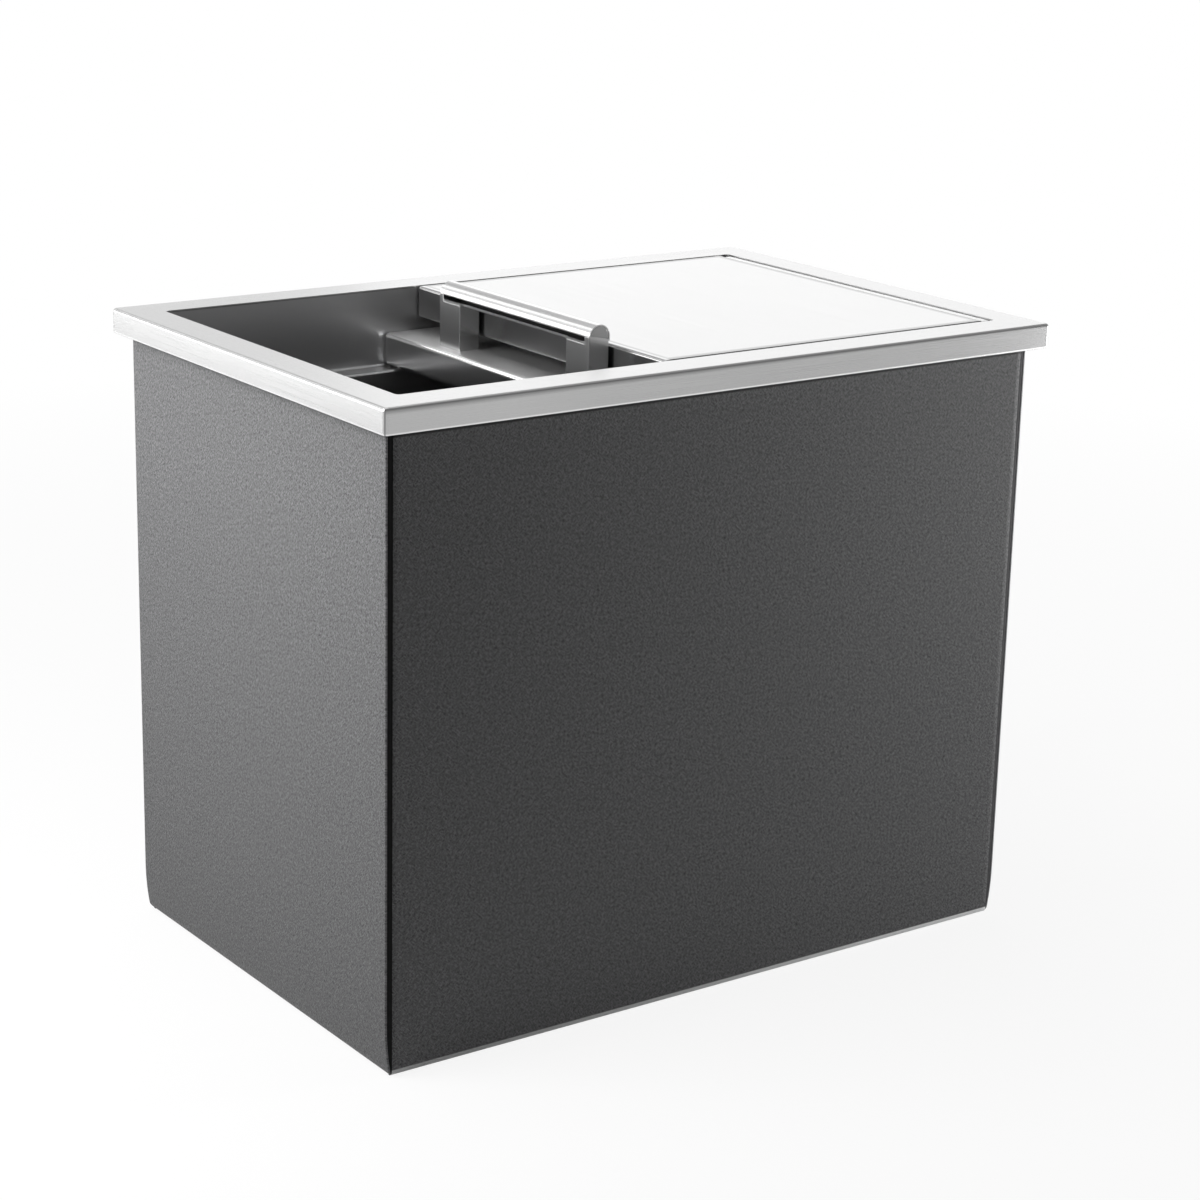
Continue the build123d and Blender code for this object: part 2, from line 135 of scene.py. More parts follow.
def greys(tree, value, dark, light):
    ramp = tree.nodes.new("ShaderNodeMix")
    ramp.data_type = "RGBA"
    ramp.inputs["A"].default_value = (*dark, 1)
    ramp.inputs["B"].default_value = (*light, 1)
    tree.links.new(value, ramp.inputs["Factor"])
    return ramp.outputs["Result"]


def bumped(tree, shader, height, strength, distance=0.0002):
    bump = tree.nodes.new("ShaderNodeBump")
    bump.inputs["Strength"].default_value = strength
    bump.inputs["Distance"].default_value = distance
    tree.links.new(height, bump.inputs["Height"])
    tree.links.new(bump.outputs["Normal"], shader.inputs["Normal"])


hairStretch = {"x": (9, 8000, 8000), "y": (8000, 9, 8000), "z": (8000, 8000, 9)}


def coordinates(tree):
    place = tree.nodes.new("ShaderNodeTexCoord")
    parts = tree.nodes.new("ShaderNodeSeparateXYZ")
    tree.links.new(place.outputs["Object"], parts.inputs[0])
    return parts.outputs


def times(tree, *values):
    product = values[0]
    for value in values[1:]:
        product = maths(tree, "MULTIPLY", product, value)
    return product


# How far out a point of the rim lies, as a share of the land: by its ends, and by its long sides
def rimShares(tree, rim):
    at = coordinates(tree)
    halves, lands = rim["openingHalf"], rim["lands"]
    outward = [maths(tree, "SUBTRACT", maths(tree, "ABSOLUTE", at[i]), halves[i] * mm) for i in (0, 1)]
    return [maths(tree, "DIVIDE", outward[i], lands[i] * mm) for i in (0, 1)]


def toned(tree, colour, amount, tone):
    mix = tree.nodes.new("ShaderNodeMix")
    mix.data_type = "RGBA"
    mix.inputs["B"].default_value = (*tone, 1)
    tree.links.new(amount, mix.inputs["Factor"])
    tree.links.new(colour, mix.inputs["A"])
    return mix.outputs["Result"]


# Rim: painted shade on the fold and skirt of the long sides, a painted highlight along the lower edge, and
# darker mitres
def rimTones(tree, colour, rim):
    byEnd, bySide = rimShares(tree, rim)
    z = coordinates(tree)["Z"]
    top, low = (value * mm for value in rim["heights"])
    onEnds = maths(tree, "GREATER_THAN", byEnd, bySide)
    onSides = maths(tree, "SUBTRACT", 1.0, onEnds)
    under = ranged(tree, z, 1, 0, *(top - depth * mm for depth in rim["landDepths"]))
    # painted shade over the skirt of the long sides, stronger towards +X, and a painted dark reflection along
    # the fold under the top edge
    side = ranged(tree, coordinates(tree)["X"], *rim["sideShade"], *rim["sideSpan"])
    bend = ranged(tree, z, 0, rim["foldShade"], *(top - depth * mm for depth in rim["foldDepths"]))
    fold = times(tree, onSides, under, maths(tree, "MAXIMUM", side, bend))
    colour = toned(tree, colour, fold, rim["foldTone"])
    # painted highlight along the lower edge of the skirt
    paintedHighlight = ranged(tree, z, rim["paintedHighlight"], 0, *(low + height * mm for height in rim["paintedHighlightHeights"]))
    colour = toned(tree, colour, paintedHighlight, rim["paintedHighlightTone"])
    apart = maths(tree, "ABSOLUTE", maths(tree, "SUBTRACT", byEnd, bySide))
    mitre = ranged(tree, apart, rim["seamDull"], 0, *rim["seamShares"])
    outer = ranged(tree, byEnd, 0, 1, *rim["seamStart"])
    return toned(tree, colour, times(tree, mitre, outer, under), rim["foldTone"])


# Lift-off cover: painted shade along the fold round its top, but not on the strip behind the handle
def coverTones(tree, colour, cover):
    at = coordinates(tree)
    edges = []
    for i, way in enumerate("XY"):
        out = maths(tree, "ABSOLUTE", maths(tree, "SUBTRACT", at[way], cover["middle"][i] * mm))
        half, fold = cover["half"][i] * mm, cover["foldWidth"] * mm
        edges.append(ranged(tree, out, 0, cover["foldShade"], half - fold, half - 0.5 * fold))
    frontEdge = cover["middle"][0] - cover["half"][0]
    front = maths(tree, "GREATER_THAN", at["X"], (frontEdge + cover["plainFront"]) * mm)
    edge = times(tree, maths(tree, "MAXIMUM", *edges), front)
    return toned(tree, colour, edge, cover["foldTone"])


# Brushed sheet: hairlines run along one axis, with a slow change of tone over the sheet
def brushedSteel(name, along, tone, roughness, hair=0.25, cloud=0.03, rim=None, cover=None, recessShade=None,
                 flat=None):
    finish, tree, shader = nodeSet(name)
    hairs = noiseOn(tree, mapped(tree, hairStretch[along]), 1.0, 3, 0.6)
    if rim:
        crossHairs = noiseOn(tree, mapped(tree, hairStretch["y"]), 1.0, 3, 0.6)
        hairs = mixed(tree, maths(tree, "GREATER_THAN", *rimShares(tree, rim)), hairs, crossHairs)
    clouds = noiseOn(tree, mapped(tree, (1, 1, 1)), 9.0, 2, 0.5)
    tint = maths(tree, "ADD", ranged(tree, hairs, 0, 0.7), ranged(tree, clouds, 0, 0.3))
    colour = greys(tree, tint, [c - cloud for c in tone], [min(c + cloud, 1) for c in tone])
    if rim:
        colour = rimTones(tree, colour, rim)
    if cover:
        colour = coverTones(tree, colour, cover)
    # painted shade in the rail's recess under the grip, past a given X
    if recessShade:
        start = recessShade["from"] * mm
        inside = ranged(tree, coordinates(tree)["X"], 0, 1, start, start + recessShade["fade"] * mm)
        colour = toned(tree, colour, inside, recessShade["tone"])
    tree.links.new(colour, shader.inputs["Base Color"])
    shader.inputs["Metallic"].default_value = 1.0
    spread = min(0.2, hair * 2)
    dullness = ranged(tree, hairs, roughness * (1 - spread), roughness * (1 + spread))
    if flat:
        top = flat["top"] * mm
        rise = ranged(tree, coordinates(tree)["Z"], 1, flat["times"], top - flat["fade"] * mm, top)
        dullness = times(tree, dullness, rise)
    tree.links.new(dullness, shader.inputs["Roughness"])
    bumped(tree, shader, hairs, hair, 0.00003)
    return finish


# Coated casing sheet: dark grey with a fine crossed diagonal grain, with a painted shadow close under the
# rim, painted shade that falls off along the sheet, and a painted highlight strip along the foot or the
# rolled edges
def coatedSheet(name, dark, light, roughness, grain, shade):
    finish, tree, shader = nodeSet(name)
    at = coordinates(tree)
    along = maths(tree, "ADD", at["X"], at["Y"])
    rising = maths(tree, "ADD", along, at["Z"])
    falling = maths(tree, "SUBTRACT", along, at["Z"])
    crossed = []
    for wide, fine in ((rising, falling), (falling, rising)):
        joined = tree.nodes.new("ShaderNodeCombineXYZ")
        tree.links.new(maths(tree, "MULTIPLY", wide, grain["run"]), joined.inputs[0])
        tree.links.new(maths(tree, "MULTIPLY", fine, grain["across"]), joined.inputs[1])
        crossed.append(noiseOn(tree, joined.outputs[0], 1.0, 2, 0.5))
    fine = noiseOn(tree, mapped(tree, (1, 1, 1)), grain["across"] * grain["fineTimes"], 2, 0.5)
    speckle = maths(tree, "MULTIPLY", fine, grain["fineShare"])
    height = maths(tree, "ADD", maths(tree, "MAXIMUM", *crossed), speckle)
    colour = greys(tree, ranged(tree, height, 0, 1, *grain["heights"]), dark, light)
    # painted shade: the tone darkens towards one end of the sheet along one axis
    fall = ranged(tree, at[shade["fallAlong"]], shade["fall"], 0, *shade["fallSpan"])
    colour = toned(tree, colour, fall, shade["tone"])
    # painted highlight strip along the bend at the foot
    if "foot" in shade:
        foot = shade["foot"] * mm
        strip = times(tree, ranged(tree, at["Z"], shade["footLit"], 0, foot - shade["stripFade"] * mm, foot),
                      ranged(tree, at["X"], *shade["footShares"], *shade["footSpan"]))
        colour = toned(tree, colour, strip, shade["lit"])
    # painted highlight on the right panel's rolled edges
    if "edge" in shade:
        edge = shade["edge"] * mm
        outer = ranged(tree, maths(tree, "ABSOLUTE", at["Y"]), 0, shade["edgeLit"],
                       edge - shade["stripFade"] * mm, edge)
        outer = times(tree, outer, maths(tree, "GREATER_THAN", at["X"], 0.0))  # on the right panel alone
        colour = toned(tree, colour, outer, shade["lit"])
    # painted shadow close under the rim
    start = shade["from"] * mm
    rimShadow = ranged(tree, at["Z"], 0, shade["amount"], start - shade["fade"] * mm, start)
    tree.links.new(toned(tree, colour, rimShadow, shade["tone"]), shader.inputs["Base Color"])
    tree.links.new(ranged(tree, fine, roughness * 0.9, roughness * 1.1), shader.inputs["Roughness"])
    shader.inputs["Specular IOR Level"].default_value = grain["gloss"]
    bumped(tree, shader, height, grain["depth"], 0.0002)
    return finish


# Plain moulded or poured stuff with a fine skin
def mouldedSkin(name, dark, light, roughness, scale, depth, gloss=0.5):
    finish, tree, shader = nodeSet(name)
    shader.inputs["Specular IOR Level"].default_value = gloss
    skin = noiseOn(tree, mapped(tree, (1, 1, 1)), scale, 3, 0.6)
    tree.links.new(greys(tree, ranged(tree, skin, 0, 1), dark, light), shader.inputs["Base Color"])
    tree.links.new(ranged(tree, skin, roughness * 0.85, roughness * 1.15), shader.inputs["Roughness"])
    bumped(tree, shader, skin, depth, 0.0003)
    return finish


rimLook = {"openingHalf": (205.5, 128.5), "lands": (22.0, 24.0), "heights": (373.0, 358.4),
           "landDepths": (1.0, 0.4), "foldShade": 0.75, "foldDepths": (4.2, 1.4),
           "sideShade": (0.10, 0.60), "sideSpan": (-0.15, 0.2), "foldTone": (0.12, 0.12, 0.12),
           "paintedHighlight": 0.8, "paintedHighlightHeights": (0.7, 1.3), "paintedHighlightTone": (0.85, 0.85, 0.85),
           "seamDull": 0.75, "seamShares": (0.012, 0.035), "seamStart": (0.92, 0.94)}
# painted shade along the fold round the lift-off cover's top
topCoverLook = {"middle": (81.8, 0.0), "half": (116.5, 127.3), "foldWidth": 7.0, "foldShade": 0.9,
                "plainFront": 4.0, "foldTone": (0.10, 0.10, 0.10)}
grainLook = {"run": 320, "across": 900, "fineTimes": 1.6, "fineShare": 0.2, "heights": (0.48, 0.84),
             "depth": 0.9, "gloss": 0.14}
# Casing shades: painted shadow under the rim, a painted highlight on the foot's bend or the right panel's
# rolled edge, and painted shade falling off along one axis
wrapShade = {"from": 354.6, "fade": 0.7, "amount": 0.92, "tone": (0.004, 0.004, 0.004),
             "foot": 4.2, "footLit": 0.95, "footShares": (0.45, 1), "footSpan": (-0.2, 0.12),
             "stripFade": 0.5, "lit": (0.8, 0.8, 0.8),
             "fallAlong": "X", "fall": 0.24, "fallSpan": (-0.22, 0.1)}
endShade = {"from": 355.6, "fade": 1.2, "amount": 0.5, "tone": (0.01, 0.01, 0.01),
            "edge": 140.1, "edgeLit": 0.6, "stripFade": 0.5,
            "lit": (0.36, 0.36, 0.365), "fallAlong": "Z", "fall": 0.36, "fallSpan": (0.02, 0.3)}
# the slide cover's steel is painted lighter and the lift-off cover's darker, lit and shaded copies of one
# steel
steelTones = {"rim": (0.46, 0.46, 0.46), "tub": (0.44, 0.44, 0.444), "cover": (0.36, 0.36, 0.36),
              "slide": (0.74, 0.74, 0.74), "handle": (0.60, 0.60, 0.60), "cap": (0.36, 0.36, 0.36),
              "drain": (0.55, 0.55, 0.55), "zinc": (0.50, 0.51, 0.51)}
coatTones = ((0.037, 0.037, 0.038), (0.168, 0.168, 0.171))
# the end panels' coat is a painted lit copy of the wrap's coat, lighter all over
litEndTones = ((0.045, 0.045, 0.046), (0.205, 0.205, 0.209))
sealantTones = ((0.006, 0.006, 0.006), (0.010, 0.010, 0.010))
paintedTones = ((0.06, 0.06, 0.062), (0.09, 0.09, 0.092))
slideFlat = {"top": 346.65, "fade": 0.8, "times": 2.1}  # its flat top is duller than its folds
# painted shade on the rail behind its front face, under the grip
grooveShade = {"from": -48.3, "fade": 0.3, "tone": (0.02, 0.02, 0.02)}
finishes = {
    "rim_steel": brushedSteel("rimSteel", "x", steelTones["rim"], 0.30, 0.15, 0.02, rim=rimLook),
    "tub_steel": brushedSteel("tubSteel", "x", steelTones["tub"], 0.34, 0.08, 0.02),
    "casing_coat": coatedSheet("casingCoat", *litEndTones, 0.5, grainLook, endShade),
    "wrapCoat": coatedSheet("wrapCoat", *coatTones, 0.5, grainLook, wrapShade),
    "seam_sealant": mouldedSkin("seamSealant", *sealantTones, 0.7, 400, 0.3, 0.04),
    "paintedSeam": mouldedSkin("paintedSeam", *paintedTones, 0.5, 500, 0.3, 0.16),
    "foam": mouldedSkin("pouredFoam", (0.70, 0.64, 0.44), (0.80, 0.75, 0.55), 0.8, 900, 0.6),
    "drain_steel": brushedSteel("drainSteel", "z", steelTones["drain"], 0.22),
    "drain_plastic": mouldedSkin("drainPlastic", (0.03, 0.03, 0.032), (0.045, 0.045, 0.048), 0.5, 600, 0.3),
    "drain_rubber": mouldedSkin("drainRubber", (0.018, 0.018, 0.018), (0.03, 0.03, 0.03), 0.7, 500, 0.4),
    "cover_steel": brushedSteel("coverSteel", "y", steelTones["cover"], 0.22, 0.10, 0.015,
                                cover=topCoverLook),
    "slideSteel": brushedSteel("slideSteel", "y", steelTones["slide"], 0.20, 0.05, 0.02, flat=slideFlat),
    "glide_nylon": mouldedSkin("glideNylon", (0.72, 0.71, 0.67), (0.80, 0.79, 0.76), 0.4, 500, 0.2),
    "handle_steel": brushedSteel("handleSteel", "y", steelTones["handle"], 0.26, 0.02, 0.008),
    "capSteel": brushedSteel("capSteel", "z", steelTones["cap"], 0.30, 0.02, 0.008),
    "railSteel": brushedSteel("railSteel", "y", steelTones["handle"], 0.26, 0.02, 0.02, recessShade=grooveShade),
    "zinc_steel": brushedSteel("zincSteel", "x", steelTones["zinc"], 0.35),
}
for part in frame["record"]["subparts"]:
    holder = nodes[part["node"]]
    holder.data.materials.clear()
    holder.data.materials.append(finishes[part["material_slot"]])
print("ice bin: finishes set")


# Mesh helpers: shapes are worked in millimetres and go to metres in finished()
def boxOf(node):
    low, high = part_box(node)
    return Vector(low) / mm, Vector(high) / mm


def frameSlot(node):
    return next(part["material_slot"] for part in frame["record"]["subparts"] if part["node"] == node)


def blockMesh(low, high):
    bm = bmesh.new()
    bmesh.ops.create_cube(bm, size=1)
    bmesh.ops.scale(bm, vec=[b - a for a, b in zip(low, high)], verts=bm.verts)
    bmesh.ops.translate(bm, vec=[(a + b) / 2 for a, b in zip(low, high)], verts=bm.verts)
    return bm


def edgesAlong(bm, axis):
    way = "xyz".index(axis)
    found = []
    for edge in bm.edges:
        run = edge.verts[1].co - edge.verts[0].co
        if abs(run[way]) > 0.999 * run.length:
            found.append(edge)
    return found


def edgesAt(bm, axis, place, keep=None):
    way = "xyz".index(axis)
    found = [e for e in bm.edges if all(abs(v.co[way] - place) < 0.001 for v in e.verts)]
    return [e for e in found if keep is None or keep((e.verts[0].co + e.verts[1].co) / 2)]


def roundOff(bm, edges, radius, steps):
    bmesh.ops.bevel(bm, geom=edges, offset=radius, offset_type="OFFSET", affect="EDGES",
                    segments=steps, profile=0.5, material=-1, clamp_overlap=False)


def dropFaces(bm, axis, place):
    way = "xyz".index(axis)
    gone = [f for f in bm.faces if all(abs(v.co[way] - place) < 0.001 for v in f.verts)]
    bmesh.ops.delete(bm, geom=gone, context="FACES")


# Four walls with rounded uprights, open above and below
def sleeve(low, high, corner, steps):
    bm = blockMesh(low, high)
    roundOff(bm, edgesAlong(bm, "z"), corner, steps)
    dropFaces(bm, "z", low[2])
    dropFaces(bm, "z", high[2])
    return bm


# Only the closed line of a sleeve at one height
def ringLine(halfX, halfY, corner, steps, z, middle=(0, 0)):
    x, y = middle
    bm = sleeve((x - halfX, y - halfY, z - 1), (x + halfX, y + halfY, z), corner, steps)
    bmesh.ops.delete(bm, geom=[v for v in bm.verts if v.co.z < z - 0.5], context="VERTS")
    return bm


def together(*parts):
    whole = bmesh.new()
    for part in parts:
        holder = bpy.data.meshes.new("holder")
        part.to_mesh(holder)
        part.free()
        whole.from_mesh(holder)
        bpy.data.meshes.remove(holder)
    return whole


def bridged(bm, z):
    bmesh.ops.remove_doubles(bm, verts=bm.verts, dist=0.0005)
    open_ = [e for e in edgesAt(bm, "z", z) if len(e.link_faces) < 2]
    bmesh.ops.bridge_loops(bm, edges=open_)


# Turns all faces the right way, tested on the face nearest a point
def faceTowards(bm, probe, way):
    bmesh.ops.remove_doubles(bm, verts=bm.verts, dist=0.0005)
    bmesh.ops.recalc_face_normals(bm, faces=bm.faces)
    nearest = min(bm.faces, key=lambda f: (f.calc_center_median() - Vector(probe)).length)
    if nearest.normal.dot(Vector(way)) < 0:
        bmesh.ops.reverse_faces(bm, faces=bm.faces)


def finished(bm, name, body, slot, replaced, wall=0, edge=0, sharp=40, finish=None):
    bmesh.ops.scale(bm, vec=(mm, mm, mm), verts=bm.verts)
    for face in bm.faces:
        face.smooth = True
    for rim in bm.edges:
        rim.smooth = len(rim.link_faces) != 2 or rim.calc_face_angle(0) < radians(sharp)
    mesh = bpy.data.meshes.new(name)
    bm.to_mesh(mesh)
    bm.free()
    piece = bpy.data.objects.new(name, mesh)
    bpy.context.scene.collection.objects.link(piece)
    mesh.materials.append(finishes[finish or slot])
    if wall:
        sheet = piece.modifiers.new("sheet", "SOLIDIFY")
        sheet.thickness = wall * mm
        sheet.offset = -1
        sheet.use_even_offset = True
    if edge:
        worn = piece.modifiers.new("edges", "BEVEL")
        worn.width = edge * mm
        worn.segments = 3
        worn.limit_method = "ANGLE"
        worn.angle_limit = radians(sharp)
    piece.modifiers.new("flats", "WEIGHTED_NORMAL").keep_sharp = True
    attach(piece, body)
    if replaced:
        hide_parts(*replaced)
    return piece


# Folded rim: flat land, rolled top edge, skirt and turned-in lip
rimPiece = {"corner": 2.6, "topBend": 2.0, "lowerEdge": 0.8, "sheet": 1.2, "lip": 6.0, "steps": 7,
            "openingHalf": (205.5, 128.5), "openingCorner": 2.6}


def rimSheet(rim):
    low, high = boxOf("rim_frame")
    outer = sleeve(low, high, rim["corner"], rim["steps"])
    mouth = ringLine(*rim["openingHalf"], rim["openingCorner"], rim["steps"], high.z)
    lip = ringLine(high.x - rim["lip"], high.y - rim["lip"], 1.0, rim["steps"], low.z)
    bm = together(outer, mouth, lip)
    bridged(bm, high.z)
    bridged(bm, low.z)
    outside = lambda at: abs(at.x) > high.x - 3 or abs(at.y) > high.y - 3
    roundOff(bm, edgesAt(bm, "z", high.z, outside), rim["topBend"], 6)
    roundOff(bm, edgesAt(bm, "z", low.z, outside), rim["lowerEdge"], 4)
    faceTowards(bm, (0, low.y, high.z - 8), (0, -1, 0))
    return finished(bm, "rimSheet", "bin", "rim_steel", ["rim_frame"], wall=rim["sheet"], edge=0.25)


# Tub: walls, ledge, coved well and drain dish in one pressing
tubPiece = {"corner": 2.6, "footBend": 1.8, "mouthBend": 1.4, "wellHalf": (191.5, 114.5),
            "wellCorner": 24.0, "cove": 14.0, "floor": 33.0, "dishFloor": 29.5, "dishRadius": 40.0,
            "dishFoot": 37.0, "drainPlace": (-120.0, 0.0), "drainHole": 16.65, "sheet": 1.0,
            "ledgeStrip": 3.0, "steps": 12}


def circleLine(radius, z, middle, steps):
    bm = bmesh.new()
    bmesh.ops.create_circle(bm, cap_ends=False, radius=radius, segments=4 * (steps + 1))
    bmesh.ops.rotate(bm, verts=bm.verts, cent=(0, 0, 0), matrix=Matrix.Rotation(radians(45), 3, "Z"))
    bmesh.ops.translate(bm, vec=(*middle, z), verts=bm.verts)
    return bm


def tubPressing(tub):
    openX, openY = rimPiece["openingHalf"]
    wellX, wellY = tub["wellHalf"]
    collarLow, collarHigh = boxOf("tub_collar")
    steps, ledge = tub["steps"], boxOf("tub_well")[1].z
    upper = blockMesh((-openX, -openY, ledge), (openX, openY, collarHigh.z))
    roundOff(upper, edgesAlong(upper, "z"), tub["corner"], steps)
    roundOff(upper, edgesAt(upper, "z", ledge), tub["footBend"], 5)
    dropFaces(upper, "z", ledge)
    dropFaces(upper, "z", collarHigh.z)
    lower = blockMesh((-wellX, -wellY, tub["floor"]), (wellX, wellY, ledge))
    roundOff(lower, edgesAlong(lower, "z"), tub["wellCorner"], steps)
    roundOff(lower, edgesAt(lower, "z", tub["floor"]), tub["cove"], 8)
    dropFaces(lower, "z", tub["floor"])
    dropFaces(lower, "z", ledge)
    spread = tub["ledgeStrip"]  # even strip of ledge round the well, so that its edge rolls over evenly
    around = ringLine(wellX + spread, wellY + spread, tub["wellCorner"] + spread, steps, ledge)
    lower = together(lower, around)
    bridged(lower, ledge)
    mouth = [e for e in edgesAt(lower, "z", ledge) if any(abs(f.normal.z) < 0.5 for f in e.link_faces)]
    roundOff(lower, mouth, tub["mouthBend"], 5)
    flange = ringLine(collarHigh.x, collarHigh.y, 1.0, steps, collarHigh.z)
    dish = together(circleLine(tub["dishRadius"], tub["floor"], tub["drainPlace"], steps),
                    circleLine(tub["dishFoot"], tub["dishFloor"], tub["drainPlace"], steps))
    bmesh.ops.bridge_loops(dish, edges=dish.edges)
    hole = circleLine(tub["drainHole"], tub["dishFloor"], tub["drainPlace"], steps)
    bm = together(upper, lower, flange, dish, hole)
    for z in (collarHigh.z, ledge, tub["floor"], tub["dishFloor"]):
        bridged(bm, z)
    faceTowards(bm, (0, -openY, ledge + 25), (0, 1, 0))
    return finished(bm, "tubPressing", "bin", "tub_steel", ["tub_collar", "tub_well"], wall=tub["sheet"],
                    sharp=50)


# Casing: one sheet bent round front, floor and back, with a panel at each end and a bead in each seam
casingPiece = {"bend": 3.8, "sheet": 0.8, "drainCut": 64.0, "drainX": -120.0, "steps": 10,
               "roll": {-1: 0.8, 1: 1.6}, "seamEnd": 4.4, "seamDepth": 0.25,
               "lean": 2.8, "leanHeight": 30.0, "footRoll": 4.0, "floorEnd": 7.8, "endsFrom": 206.0,
               "rows": (0.2, 0.5, 1.0, 1.6, 2.3, 3.1, 4.0, 6.0, 9.0, 12.0, 16.0, 20.0, 25.0, 30.0)}


def bisected(bm, axis, place, clear=0):
    way = [0, 0, 0]
    way["xyz".index(axis)] = 1
    spot = [c * place for c in way]
    bmesh.ops.bisect_plane(bm, geom=bm.verts[:] + bm.edges[:] + bm.faces[:], plane_co=spot, plane_no=way,
                           clear_outer=clear > 0, clear_inner=clear < 0)


# Sheet bent up at both long sides, open at its ends and above
def bentTrough(low, high, casing, grow=0):
    bm = blockMesh((low[0], low[1] - grow, low[2] - grow), (high[0], high[1] + grow, high[2]))
    for x in (low[0], high[0]):
        dropFaces(bm, "x", x)
    dropFaces(bm, "z", high[2])
    foot = [e for e in edgesAlong(bm, "x") if e.verts[0].co.z < low[2] - grow + 1]
    roundOff(bm, foot, casing["bend"] + grow, casing["steps"])
    return bm


# The end panels lean in close to the floor and roll under it; what passes the seam is held back
def leanIn(bm, casing, side, limit, fromY=0.0):
    height, foot = casing["leanHeight"], casing["footRoll"]
    for z in casing["rows"]:
        bisected(bm, "z", z)
    for vert in bm.verts:
        at = vert.co
        if at.z > height or at.x * side < casing["endsFrom"]:
            continue
        shift = casing["lean"] * (1 - at.z / height) ** 2
        if at.z < foot:
            shift += foot - sqrt(foot ** 2 - (foot - at.z) ** 2)
        out = abs(at.x) - shift
        if abs(at.y) > fromY:
            out = max(out, min(limit, abs(at.x)))
        at.x = side * out


def casingWrap(casing):
    low, high = boxOf("casing_wrap")
    bm = bentTrough(low, high, casing)
    floorX = boxOf("casing_end_right")[1].x - casing["floorEnd"]
    for x in (-floorX, floorX):
        bisected(bm, "x", x)
    middles = [(face, face.calc_center_median()) for face in bm.faces]
    past = [face for face, middle in middles if middle.z < 0.01 and abs(middle.x) > floorX]
    bmesh.ops.delete(bm, geom=past, context="FACES")
    half = casing["drainCut"] / 2
    for x in (casing["drainX"] - half, casing["drainX"] + half):
        bisected(bm, "x", x)
    for y in (-half, half):
        bisected(bm, "y", y)
    middle = Vector((casing["drainX"], 0, 0))
    gone = [f for f in bm.faces if (f.calc_center_median() - middle).length < 5]
    bmesh.ops.delete(bm, geom=gone, context="FACES")
    faceTowards(bm, (0, low.y, 200), (0, -1, 0))
    return finished(bm, "casingWrap", "bin", "casing_coat", ["casing_wrap"], wall=casing["sheet"],
                    finish="wrapCoat")


def casingEnd(casing, side):
    node = "casing_end_left" if side < 0 else "casing_end_right"
    low, high = boxOf(node)
    face = low.x if side < 0 else high.x
    roll = casing["roll"][side]
    bm = blockMesh((-abs(face), low.y, low.z), (abs(face), high.y, high.z))
    roundOff(bm, [e for e in edgesAlong(bm, "x") if e.verts[0].co.z < 1], casing["bend"], casing["steps"])
    dropFaces(bm, "z", high.z)
    closed = [e for e in edgesAt(bm, "x", face) if len(e.link_faces) == 2]
    roundOff(bm, [e for e in closed if min(v.co.z for v in e.verts) < high.z - 1], roll, 6)
    bisected(bm, "x", face - side * (roll + 0.2), -side)
    leanIn(bm, casing, side, abs(face) - casing["seamEnd"] + 0.1, high.y - casing["bend"])
    faceTowards(bm, (face, 0, 200), (side, 0, 0))
    name = "casingEndLeft" if side < 0 else "casingEndRight"
    return finished(bm, name, "bin", "casing_coat", [node], wall=casing["sheet"])


# Insulation of the casing, leaning in with the panels that hold it
def foamBlock(casing):
    bm = bmesh.new()
    bm.from_mesh(nodes["foam_insulation"].data)
    bmesh.ops.scale(bm, vec=(1 / mm, 1 / mm, 1 / mm), verts=bm.verts)
    bmesh.ops.remove_doubles(bm, verts=bm.verts, dist=0.001)
    for x in (-casing["endsFrom"], casing["endsFrom"]):
        bisected(bm, "x", x)
    for side in (-1, 1):
        leanIn(bm, casing, side, 0)
    bmesh.ops.recalc_face_normals(bm, faces=bm.faces)
    return finished(bm, "casingFoam", "bin", "foam", ["foam_insulation"])


def seamBead(casing, side):
    low, high = boxOf("casing_wrap")
    face = boxOf("casing_end_left")[0].x if side < 0 else boxOf("casing_end_right")[1].x
    edges = sorted((face - side * (casing["roll"][side] - 0.1), face - side * casing["seamEnd"]))
    bm = bentTrough((edges[0], low.y, low.z), (edges[1], high.y, high.z), casing, -casing["seamDepth"])
    bmesh.ops.delete(bm, geom=[f for f in bm.faces if abs(f.normal.z) > 0.99], context="FACES")
    leanIn(bm, casing, side, abs(face) - casing["seamEnd"])
    faceTowards(bm, (edges[0], low.y, 200), (0, -1, 0))
    name = "seamBeadLeft" if side < 0 else "seamBeadRight"
    finish = "seam_sealant" if side < 0 else "paintedSeam"
    return finished(bm, name, "bin", "seam_sealant", ["casing_seam_seals"], wall=0.5, finish=finish)


# Both covers: folded sheet with rolled edges and a return under it
coverPieces = {
    "top": {"node": "top_cover_shell", "name": "topCoverSheet", "body": "top_cover", "corner": 2.4,
            "bend": 1.8, "foot": 1.0},
    "slide": {"node": "slide_cover_shell", "name": "slideCoverSheet", "body": "slide_cover", "corner": 3.8,
              "bend": 3.0, "foot": 3.0, "finish": "slideSteel"},
    "sheet": 0.8, "return": 12.0, "steps": 8,
}


